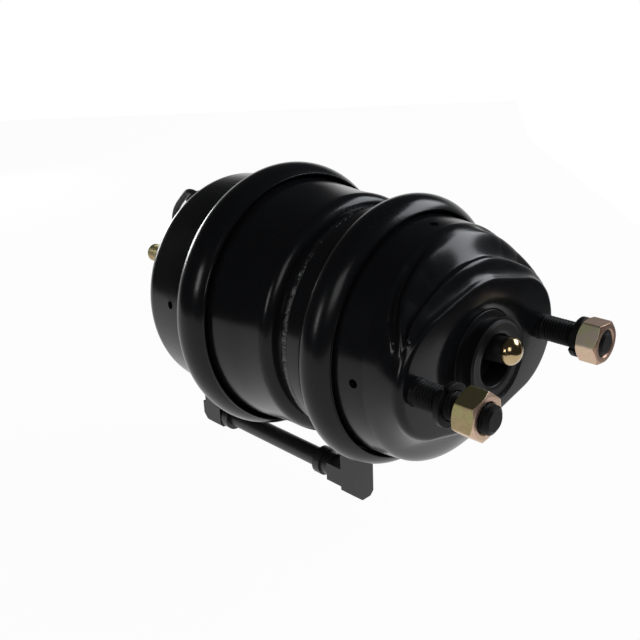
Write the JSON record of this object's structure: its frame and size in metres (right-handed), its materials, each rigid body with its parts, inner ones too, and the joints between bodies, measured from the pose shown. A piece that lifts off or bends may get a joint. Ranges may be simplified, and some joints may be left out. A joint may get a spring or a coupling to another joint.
{
  "type": "air brake chamber",
  "caption": "Double-diaphragm spring brake chamber with studded mounting pad, pushrod, clamp bands, external vent pipe and wound-out release bolt",
  "frame": {"origin": "centre of the mounting face, on the chamber's axis", "axes": "+X along the pushrod, the way it travels; +Y along the line of the two studs; +Z away from the vent pipe"},
  "size_m": [0.3815, 0.1865, 0.2136],
  "materials": {
    "black_paint": "gloss black stove enamel",
    "black_steel": "black phosphated steel, oiled",
    "bare_steel": "plain steel",
    "yellow_zinc": "yellow passivated zinc",
    "spring_steel": "epoxy coated spring wire",
    "rubber": "matt moulded rubber",
    "black_plastic": "satin black glass-filled plastic",
    "white_plastic": "natural acetal",
    "brass": "turned brass"
  },
  "bodies": {
    "housing": {"service_housing": "black_paint", "stud_plate": "bare_steel", "mounting_studs": "black_steel", "lock_washers": "black_steel", "face_seal": "rubber", "boot": "rubber", "service_return_spring": "spring_steel", "service_diaphragm": "rubber", "service_band": "black_paint", "service_cup": "black_paint", "weld_bead": "black_paint", "spring_cup": "black_paint", "service_port": "black_paint", "parking_port": "black_paint", "rod_guide": "bare_steel", "guide_bush": "white_plastic", "rod_seals": "rubber", "parking_diaphragm": "rubber", "power_spring": "spring_steel", "spring_band": "black_paint", "spring_housing": "black_paint", "release_washer": "bare_steel", "dust_plug": "rubber", "vent_tube": "black_plastic", "front_elbow": "black_plastic", "rear_elbow": "black_plastic", "elbow_seals": "rubber"},
    "adapter": {"adapter_rod": "bare_steel", "adapter_plate": "bare_steel", "adapter_screw": "bare_steel", "pressure_plate": "bare_steel", "release_bolt": "yellow_zinc"},
    "push_plate": {"pushrod_plate": "bare_steel"},
    "pushrod": {"pushrod": "bare_steel", "pushrod_tip": "brass"},
    "near_nut": {"near_nut": "yellow_zinc"},
    "far_nut": {"far_nut": "yellow_zinc"},
    "release_nut": {"release_nut": "yellow_zinc"}
  },
  "joints": [
    {"name": "release_nut_turn", "type": "hinge", "parent": "housing", "child": "release_nut", "pos_m": [-0.279, 0, 0], "axis": [1, 0, 0], "range_deg": [-10260, 0]},
    {"name": "parking_stroke", "type": "slide", "parent": "housing", "child": "adapter", "axis": [-1, 0, 0], "range_m": [-0.057, 0], "deforming": ["power_spring", "parking_diaphragm"]},
    {"name": "service_stroke", "type": "slide", "parent": "adapter", "child": "push_plate", "axis": [1, 0, 0], "range_m": [0, 0.057], "stiffness_N_per_m": 1500, "springref_m": -0.03, "deforming": ["service_return_spring", "service_diaphragm", "boot"]},
    {"name": "pushrod_tilt", "type": "hinge", "parent": "push_plate", "child": "pushrod", "pos_m": [-0.08, 0, 0], "axis": [0, 1, 0], "range_deg": [-0.5, 9.2], "stiffness_Nm_per_rad": 5},
    {"name": "near_nut_turn", "type": "hinge", "parent": "housing", "child": "near_nut", "pos_m": [0.0379, -0.06032, 0], "axis": [1, 0, 0], "continuous": true},
    {"name": "far_nut_turn", "type": "hinge", "parent": "housing", "child": "far_nut", "pos_m": [0.0359, 0.06032, 0], "axis": [1, 0, 0], "continuous": true}
  ],
  "couplings": [
    {"joint": "release_nut_turn", "follows": "parking_stroke", "rad_per_m": 3141.6}
  ]
}
